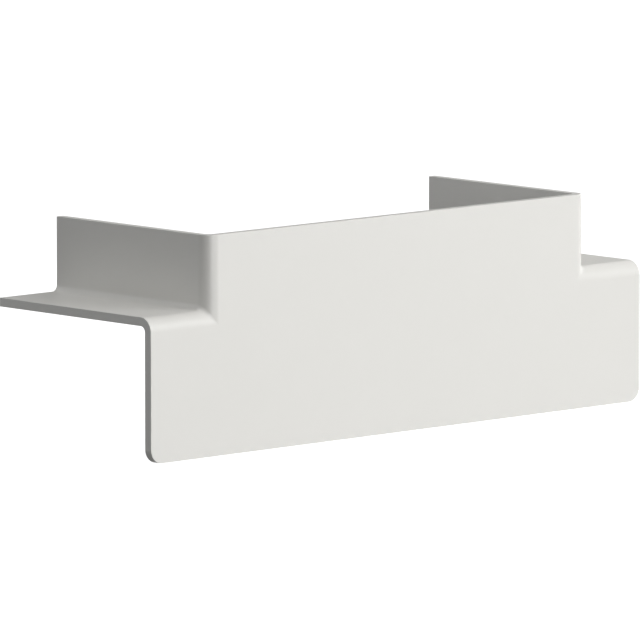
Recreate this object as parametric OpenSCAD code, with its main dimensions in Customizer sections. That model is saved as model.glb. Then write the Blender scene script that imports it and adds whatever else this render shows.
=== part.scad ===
// Tee cover for surface trunking: a one-piece moulded hood that goes over the joint where a
// branch trunking comes down onto a through run. It is open to the wall, to the branch above,
// to the run on both sides, and below, where the run's own lid slides in behind the plate.
// X lies along the run, Y goes back to the wall and Z goes up the branch. The origin is in the
// plane of the lids, where the branch's centre line crosses the run's top edge.

/* [Trunking] */
// Width of the branch trunking that the hood covers
trunking_w = 140; // [100:1:200]
// Depth of the trunking, from the wall to the face of its lid
trunking_d = 60; // [40:1:90]
// Gap on each side between the branch trunking and the hood
side_gap = 0.6; // [0.2:0.1:1.5]

/* [Hood] */
// Thickness of the moulded wall, the same all over
wall = 2.5; // [1.6:0.1:3.2]
// Length of each flange, from the outside of the branch to its free end
flange_l = 21.2; // [12:0.1:60]
// Height of the front plate below the run's top edge
plate_drop = 37.8; // [20:0.1:80]
// Height of the branch above the flanges
branch_rise = 21; // [12:0.1:60]

/* [Rounding] */
// Inner radius of the bends between the front plate and the walls
bend_r = 1.7; // [0.5:0.1:5]
// Outer radius of the corner where a flange turns up into the branch
tee_r = 1; // [0.6:0.1:4]
// Radius of the front plate's two bottom corners
foot_r = 4; // [1:0.1:10]
// Rounding of the free edges
edge_r = 0.1; // [0.05:0.05:0.6]

/* [Hidden] */
$fn = 96;
// Segments of the free edges' rounding, which is far smaller than the bends
edge_fn = 24;

plastic = [0.89, 0.885, 0.865];

// Outside widths of the branch and of the whole hood
branch_w = trunking_w + 2 * side_gap + 2 * wall;
hood_w = branch_w + 2 * flange_l;

// Outer radius of the bends, whose axes lie bend_r behind the plane of the lids
bend_out = bend_r + wall;

// Length of a wall behind its bend, and heights of the branch's rim and of the tee corners
wall_l = trunking_d - bend_r;
branch_top = wall + branch_rise;
tee_z = wall + tee_r;

// How far pieces of the one moulding run into each other where they meet
lap = 1;

// Strip of wall, its thickness along X and its length along Y, both edges of its far end rounded
module strip(length) {
    square([wall, length - edge_r]);
    translate([edge_r, 0]) square([wall - 2 * edge_r, length]);
    for (x = [edge_r, wall - edge_r])
        translate([x, length - edge_r]) circle(edge_r, $fn = edge_fn);
}

// Section of a bend about its axis, with a lap of wall and of plate past its two ends
module bend() {
    difference() {
        bend_fill(bend_out);
        bend_fill(bend_r);
    }
}

// What lies inside one face of the bend, of radius r
module bend_fill(r) {
    intersection() {
        circle(r);
        translate([-r, -r]) square(r);
    }
    translate([-r, 0]) square([r, lap]);
    translate([0, -r]) square([lap, r]);
}

// Section of a wall and its bend: outside at X = 0, plane of the lids at Y = 0
module hook() {
    translate([0, bend_r]) strip(wall_l);
    translate([bend_out, bend_r]) bend();
}

// Quarter turn about Z of a profile that lies r from it, with a lap of straight past its two ends
module turn(r) {
    rotate_extrude(angle = 90) translate([r, 0]) children();
    for (a = [0, 1]) rotate(90 * a) mirror([0, a, 0])
        rotate([90, 0, 0]) linear_extrude(lap) translate([r, 0]) children();
}

// Wall and bend placed as in the hook, carried up Z to a free end whose edges are rounded
module side(length) {
    translate([0, bend_r, 0]) intersection() {
        linear_extrude(length) strip(wall_l);
        translate([0, wall_l, 0]) rotate([90, 0, 0]) linear_extrude(wall_l) strip(length);
    }
    translate([bend_out, bend_r, 0]) rotate(180) turn(bend_r) strip(length);
}

// Side wall of the branch, at the hood's right
module branch_side() {
    translate([branch_w / 2, 0, tee_z]) mirror([1, 0, 0]) side(branch_rise - tee_r);
}

// Flange over the run's top edge, at the hood's right
module flange() {
    translate([branch_w / 2 + tee_r, 0, wall]) rotate([0, 90, 0]) side(flange_l - tee_r);
}

// Corner where the flange's wall and bend turn up into the branch, as one sweep of the hook
module tee_corner() {
    translate([branch_w / 2 + tee_r, 0, tee_z]) rotate([-90, 0, 0]) rotate(90)
        turn(tee_r) hook();
}

// Flat of the front plate behind the swept corner, from inside the hook's lap to both plates
module corner_web() {
    web_w = tee_r + bend_out + lap;
    translate([branch_w / 2 + tee_r, 0, tee_z]) rotate([90, 0, 0]) linear_extrude(wall)
        difference() {
            translate([-web_w, -web_w]) square(web_w);
            circle(web_w - lap / 2);
        }
}

// Front plate, from the bend's tangent line down, with its free edges rounded
module run_plate() {
    end_x = hood_w / 2 - foot_r;
    foot_z = foot_r - plate_drop;
    // Middle, with the straight bottom edge
    translate([-end_x, -wall, -bend_r]) rotate([0, 90, 0]) linear_extrude(2 * end_x)
        translate([0, wall]) rotate(-90) strip(plate_drop - bend_r);
    for (s = [0, 1]) mirror([s, 0, 0]) {
        // End, with the straight side edge
        translate([end_x - lap, 0, foot_z]) linear_extrude(-bend_r - foot_z)
            rotate(-90) strip(foot_r + lap);
        // Rounded bottom corner
        translate([end_x, -wall, foot_z]) rotate([-90, 0, 0])
            turn(0) rotate(-90) translate([-wall, 0]) strip(foot_r);
    }
}

// Front plate of the branch, between its two bends and down into the run's plate
module branch_plate() {
    flat_w = branch_w - 2 * bend_out;
    translate([-flat_w / 2, -wall, -bend_r - lap]) rotate([0, 90, 0]) linear_extrude(flat_w)
        rotate(90) strip(branch_top + bend_r + lap);
}

module tee_hood() {
    color(plastic) union() {
        run_plate();
        branch_plate();
        for (s = [0, 1]) mirror([s, 0, 0]) {
            flange();
            branch_side();
            tee_corner();
            corner_web();
        }
    }
}

tee_hood();
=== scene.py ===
import math

import bmesh
import bpy
from mathutils import Matrix, Vector


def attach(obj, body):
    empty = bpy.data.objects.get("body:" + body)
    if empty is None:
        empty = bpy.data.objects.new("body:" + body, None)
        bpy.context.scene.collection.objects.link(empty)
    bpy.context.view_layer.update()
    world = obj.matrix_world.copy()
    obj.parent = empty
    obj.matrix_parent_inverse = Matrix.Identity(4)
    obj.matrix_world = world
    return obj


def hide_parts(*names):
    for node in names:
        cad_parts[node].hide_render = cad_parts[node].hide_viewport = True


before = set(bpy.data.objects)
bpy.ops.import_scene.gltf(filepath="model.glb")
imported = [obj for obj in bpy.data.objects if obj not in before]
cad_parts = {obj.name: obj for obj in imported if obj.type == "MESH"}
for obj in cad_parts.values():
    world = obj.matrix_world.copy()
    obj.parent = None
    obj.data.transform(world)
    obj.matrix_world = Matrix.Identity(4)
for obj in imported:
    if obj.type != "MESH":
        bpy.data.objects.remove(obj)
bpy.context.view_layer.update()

MM = 0.001

# The hood's sizes, as in the part's source: X along the run, Y back to the wall, Z up the branch
WALL = 2.5 * MM
DEPTH = 60.0 * MM
BRANCH_SIDE = 73.1 * MM
HOOD_END = 94.3 * MM
BRANCH_TOP = 23.5 * MM
PLATE_FOOT = -37.8 * MM
BEND_IN = 1.7 * MM
BEND_OUT = BEND_IN + WALL
# The source sweeps the tee corners with 1 mm. Here their bends run into each other, as in the photo.
TEE_R = 1.8 * MM
FOOT_R = 4.0 * MM
EDGE_R = 0.1 * MM

# Facets to a quarter turn of the bends, the tee corners and the plate's bottom corners
BEND_STEPS = 16
TEE_STEPS = 10
FOOT_STEPS = 16
EDGE_SEGMENTS = 4
SHARP = math.radians(40.0)
QUARTER = math.radians(90.0)
SAME = 0.001 * MM


class Value:
    """An output socket of a node, with sums and products that add Math nodes."""

    def __init__(self, nodes, socket):
        self.nodes = nodes
        self.socket = socket

    def math(self, operation, first, second):
        return self.nodes.add("ShaderNodeMath", {"operation": operation}, {0: first, 1: second})

    def __add__(self, other):
        return self.math("ADD", self, other)

    def __radd__(self, other):
        return self.math("ADD", other, self)

    def __mul__(self, other):
        return self.math("MULTIPLY", self, other)

    def __rmul__(self, other):
        return self.math("MULTIPLY", other, self)


class Nodes:
    """The nodes of a material or of the world, built one by one."""

    def __init__(self, owner):
        owner.use_nodes = True
        self.tree = owner.node_tree
        self.tree.nodes.clear()

    def add(self, kind, settings, sockets, output=0):
        """Add a node: its settings first, then a number, colour or link for each socket."""
        node = self.tree.nodes.new(kind)
        for name, setting in settings.items():
            setattr(node, name, setting)
        for name, value in sockets.items():
            if isinstance(value, Value):
                self.tree.links.new(value.socket, node.inputs[name])
            else:
                node.inputs[name].default_value = value
        return Value(self, node.outputs[output]) if node.outputs else None

    def noise(self, size, detail=2.0):
        """Noise from 0 to 1, about 0.5, whose patches on the piece are about as wide as size."""
        place = self.add("ShaderNodeTexCoord", {}, {}, "Object")
        sockets = {"Vector": place, "Scale": 1.0 / size, "Detail": detail}
        return self.add("ShaderNodeTexNoise", {}, sockets)

    def blend(self, share, first, second):
        """Colour between two others."""
        sockets = {"Factor": share, 6: first, 7: second}
        return self.add("ShaderNodeMix", {"data_type": "RGBA"}, sockets, 2)


# Finish of the plastic: widths of its patches, heights of its relief and its two tones
FLOW_SIZE = 38.0 * MM
CLOUD_SIZE = 9.0 * MM
GRAIN_SIZE = 0.45 * MM
RIPPLE_SIZE = 26.0 * MM
GRAIN_HEIGHT = 0.0015 * MM
RIPPLE_HEIGHT = 0.008 * MM
DARKER = (0.806, 0.798, 0.762, 1.0)
LIGHTER = (0.828, 0.820, 0.786, 1.0)


def hood_plastic():
    """Satin off-white moulding: faint flow tones, a fine spark-eroded grain and slight ripple."""
    material = bpy.data.materials.new("satin_moulding")
    plastic = Nodes(material)
    flow = plastic.noise(FLOW_SIZE)
    cloud = plastic.noise(CLOUD_SIZE, 4.0)
    grain = plastic.noise(GRAIN_SIZE, 3.0)
    ripple = plastic.noise(RIPPLE_SIZE, 1.0)
    tone = 0.6 * flow + 0.4 * cloud
    colour = plastic.blend(tone, DARKER, LIGHTER)
    rough = 0.30 + 0.06 * cloud + 0.04 * grain
    height = GRAIN_HEIGHT * grain + RIPPLE_HEIGHT * ripple
    normal = plastic.add("ShaderNodeBump", {}, {"Strength": 1.0, "Distance": 1.0, "Height": height})
    shader = plastic.add("ShaderNodeBsdfPrincipled", {}, {
        "Base Color": colour,
        "Roughness": rough,
        "Normal": normal,
        "IOR": 1.5,
    })
    plastic.add("ShaderNodeOutputMaterial", {}, {"Surface": shader})
    return material


def hood_half():
    """Outer face of the hood's right half: flange, tee corner, branch wall and front plate."""
    bm = bmesh.new()

    # Flange's free end: the flat over the run, then the bend down to the front plate
    back = bm.verts.new((HOOD_END, DEPTH, WALL))
    bend = bmesh.ops.extrude_vert_indiv(bm, verts=[back])["verts"]
    bmesh.ops.translate(bm, verts=bend, vec=(0.0, BEND_IN - DEPTH, 0.0))
    spun = bmesh.ops.spin(bm, geom=bend, cent=(HOOD_END, BEND_IN, -BEND_IN), axis=(1.0, 0.0, 0.0),
                          angle=QUARTER, steps=BEND_STEPS)
    plate_corner = spun["geom_last"][0]

    # Along the flange, round the tee corner and up the branch
    tee_axis = Vector((BRANCH_SIDE + TEE_R, 0.0, WALL + TEE_R))
    section = carry(bm, bm.edges[:], (tee_axis.x - HOOD_END, 0.0, 0.0))
    spun = bmesh.ops.spin(bm, geom=section, cent=tee_axis, axis=(0.0, 1.0, 0.0), angle=QUARTER,
                          steps=TEE_STEPS)
    section = [part for part in spun["geom_last"] if isinstance(part, bmesh.types.BMEdge)]
    carry(bm, section, (0.0, 0.0, BRANCH_TOP - tee_axis.z))
    for vert in bm.verts:
        if vert.co.x < tee_axis.x + SAME and vert.co.z < tee_axis.z + SAME:
            mitre(vert, tee_axis)

    # Outline of the front plate: down the end, round the bottom corner and in to the middle
    foot = bmesh.ops.extrude_vert_indiv(bm, verts=[plate_corner])["verts"]
    bmesh.ops.translate(bm, verts=foot, vec=(0.0, 0.0, PLATE_FOOT + FOOT_R + BEND_IN))
    centre = (HOOD_END - FOOT_R, 0.0, PLATE_FOOT + FOOT_R)
    spun = bmesh.ops.spin(bm, geom=foot, cent=centre, axis=(0.0, 1.0, 0.0), angle=QUARTER,
                          steps=FOOT_STEPS)
    below = bmesh.ops.extrude_vert_indiv(bm, verts=spun["geom_last"][:1])["verts"]
    bmesh.ops.translate(bm, verts=below, vec=(FOOT_R - HOOD_END, 0.0, 0.0))
    above = bmesh.ops.extrude_vert_indiv(bm, verts=below)["verts"]
    bmesh.ops.translate(bm, verts=above, vec=(0.0, 0.0, BRANCH_TOP - PLATE_FOOT))
    top = [vert for vert in bm.verts if on_plate(vert) and vert.co.z > BRANCH_TOP - SAME]
    inner_top = min((vert for vert in top if vert.co.x > SAME), key=lambda vert: vert.co.x)
    bm.edges.new((above[0], inner_top))
    outline = [edge for edge in bm.edges if all(on_plate(vert) for vert in edge.verts)]
    bmesh.ops.contextual_create(bm, geom=outline)
    return bm


def mitre(vert, tee_axis):
    """Move a point of the swept tee corner to where the two bends run into each other.

    Their crease keeps the corner's small radius: a ball rolls along it and touches both bends.
    """
    spoke = Vector((tee_axis.x - vert.co.x, 0.0, tee_axis.z - vert.co.z))
    outward = (TEE_R + BEND_OUT - spoke.length) / BEND_OUT
    forward = max(0.0, BEND_IN - vert.co.y) / BEND_OUT
    turned = math.atan2(spoke.x, spoke.z) / QUARTER
    on_flange = Vector((0.0, -forward, outward))
    on_branch = Vector((outward, -forward, 0.0))
    bends = Vector((BRANCH_SIDE - BEND_OUT, max(vert.co.y, BEND_IN), WALL - BEND_OUT))
    ball = bends + (BEND_OUT + TEE_R) * Vector((outward, -forward, outward))
    vert.co = ball - TEE_R * on_flange.slerp(on_branch, turned, on_branch)


def on_plate(vert):
    return abs(vert.co.y + WALL) < SAME


def carry(bm, edges, step):
    """Extrude edges by a step. Gives the new edges."""
    grown = bmesh.ops.extrude_edge_only(bm, edges=edges)["geom"]
    verts = [part for part in grown if isinstance(part, bmesh.types.BMVert)]
    bmesh.ops.translate(bm, verts=verts, vec=step)
    return [part for part in grown if isinstance(part, bmesh.types.BMEdge) and
            all(vert in verts for vert in part.verts)]


def tee_hood(finish):
    """The whole moulding: both halves of the skin, the wall's thickness and the rounded free edges."""
    bm = hood_half()
    bmesh.ops.mirror(bm, geom=bm.verts[:] + bm.edges[:] + bm.faces[:], matrix=Matrix.Identity(4),
                     merge_dist=SAME, axis="X")
    bmesh.ops.remove_doubles(bm, verts=bm.verts, dist=SAME)
    bmesh.ops.recalc_face_normals(bm, faces=bm.faces)
    plate = max(bm.faces, key=lambda face: face.calc_area())
    if plate.normal.y > 0.0:
        bmesh.ops.reverse_faces(bm, faces=bm.faces)
    for face in bm.faces:
        face.smooth = True
    mesh = bpy.data.meshes.new("tee_hood_moulding")
    bm.to_mesh(mesh)
    bm.free()
    hood = bpy.data.objects.new("tee_hood_moulding", mesh)
    bpy.context.scene.collection.objects.link(hood)
    hood.data.materials.append(finish)

    thick = hood.modifiers.new("wall", "SOLIDIFY")
    thick.thickness = WALL
    thick.offset = -1.0
    thick.use_even_offset = True
    thick.use_quality_normals = True
    rounded = hood.modifiers.new("free edges", "BEVEL")
    rounded.width = EDGE_R
    rounded.segments = EDGE_SEGMENTS
    rounded.limit_method = "ANGLE"
    rounded.angle_limit = SHARP
    hood.modifiers.new("shading", "WEIGHTED_NORMAL")
    return hood


# Lamps, all discs aimed at the hood: bearing and height in degrees, distance and width in metres,
# power in watts and colour. Bearing 0 is in front of the plate and 90 is at its right end.
PLAIN = (1.0, 1.0, 1.0)
COOL = (0.975, 0.992, 1.03)
LAMPS = {
    "front": (345.0, 0.0, 2.0, 0.9, 10.2, PLAIN),
    "front right": (35.0, 28.0, 2.0, 1.6, 6.6, PLAIN),
    "front right near": (25.0, 28.0, 1.0, 0.8, 4.15, PLAIN),
    "front right low": (35.0, -10.0, 2.0, 1.2, 5.9, PLAIN),
    "low right": (75.0, -50.0, 2.0, 2.4, 19.7, PLAIN),
    "low left": (295.0, -50.0, 2.0, 1.4, 2.2, PLAIN),
    "right": (90.0, 10.0, 2.0, 1.2, 11.5, PLAIN),
    "back right": (135.0, 25.0, 2.0, 1.4, 0.8, PLAIN),
    "back right high": (110.0, 35.0, 2.0, 1.6, 4.0, PLAIN),
    "overhead": (300.0, 80.0, 2.0, 0.9, 9.0, PLAIN),
    "back left": (225.0, 20.0, 2.0, 0.9, 2.3, COOL),
    "back left low": (214.0, 0.0, 2.0, 0.9, 2.05, COOL),
    "back left high": (240.0, 60.0, 2.0, 1.2, 2.7, PLAIN),
    "back": (180.0, 12.0, 2.0, 1.6, 15.0, PLAIN),
}
AIM = Vector((0.0, 25.0 * MM, -7.0 * MM))
FILL = 0.04
WHITE = 1.2


def direction(bearing, height):
    """Unit vector towards a bearing and a height, both in degrees."""
    around, up = math.radians(bearing), math.radians(height)
    return Vector((math.sin(around) * math.cos(up), -math.cos(around) * math.cos(up), math.sin(up)))


def put(name, thing, towards, distance, target):
    """Add a lamp or a camera that looks at target from a distance, upright."""
    holder = bpy.data.objects.new(name, thing)
    turn = towards.to_track_quat("Z", "Y").to_matrix().to_4x4()
    holder.matrix_world = Matrix.Translation(target + towards * distance) @ turn
    bpy.context.scene.collection.objects.link(holder)
    return holder


def studio_lamps():
    for name, (bearing, height, distance, width, power, colour) in LAMPS.items():
        lamp = bpy.data.lights.new(name, "AREA")
        lamp.shape = "DISK"
        lamp.size = width
        lamp.energy = power
        lamp.color = colour
        put(name, lamp, direction(bearing, height), distance, AIM)


def surroundings():
    """White to the camera, and a weak even light on everything else."""
    world = bpy.data.worlds.new("studio")
    studio = Nodes(world)
    seen = studio.add("ShaderNodeLightPath", {}, {}, "Is Camera Ray")
    light = studio.add("ShaderNodeBackground", {}, {"Strength": FILL + (WHITE - FILL) * seen})
    studio.add("ShaderNodeOutputWorld", {}, {"Surface": light})
    bpy.context.scene.world = world


FLOOR_HALF = 8.0


def floor():
    """White paper under the hood. Only the camera sees it, so it throws no light on the hood."""
    bm = bmesh.new()
    bmesh.ops.create_grid(bm, x_segments=1, y_segments=1, size=FLOOR_HALF)
    bmesh.ops.translate(bm, verts=bm.verts, vec=(0.0, 0.0, PLATE_FOOT))
    mesh = bpy.data.meshes.new("floor")
    bm.to_mesh(mesh)
    bm.free()
    sheet = bpy.data.objects.new("floor", mesh)
    bpy.context.scene.collection.objects.link(sheet)
    material = bpy.data.materials.new("white_paper")
    paper = Nodes(material)
    shader = paper.add("ShaderNodeBsdfPrincipled", {}, {
        "Base Color": (0.5, 0.5, 0.5, 1.0),
        "Roughness": 1.0,
        "Specular IOR Level": 0.0,
        "Emission Color": (1.0, 1.0, 1.0, 1.0),
        "Emission Strength": 0.9,
    })
    paper.add("ShaderNodeOutputMaterial", {}, {"Surface": shader})
    sheet.data.materials.append(material)
    sheet.visible_diffuse = False
    sheet.visible_glossy = False
    sheet.visible_shadow = False


# Camera: the point it looks at, its bearing and height in degrees, distance in metres and lens in mm
SEEN = Vector((-1.787, 28.688, -9.014)) * MM
BEARING = -43.156
HEIGHT = 7.366
DISTANCE = 2.7631
LENS = 551.77
SENSOR = 36.0
FAR = 30.0


def camera():
    lens = bpy.data.cameras.new("camera")
    lens.lens = LENS
    lens.sensor_width = SENSOR
    lens.clip_end = FAR
    bpy.context.scene.camera = put("camera", lens, direction(BEARING, HEIGHT), DISTANCE, SEEN)


hood = tee_hood(hood_plastic())
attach(hood, "root")
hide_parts("tee_hood")
floor()
surroundings()
studio_lamps()
camera()
bpy.context.scene.view_settings.view_transform = "Standard"

bpy.context.view_layer.update()
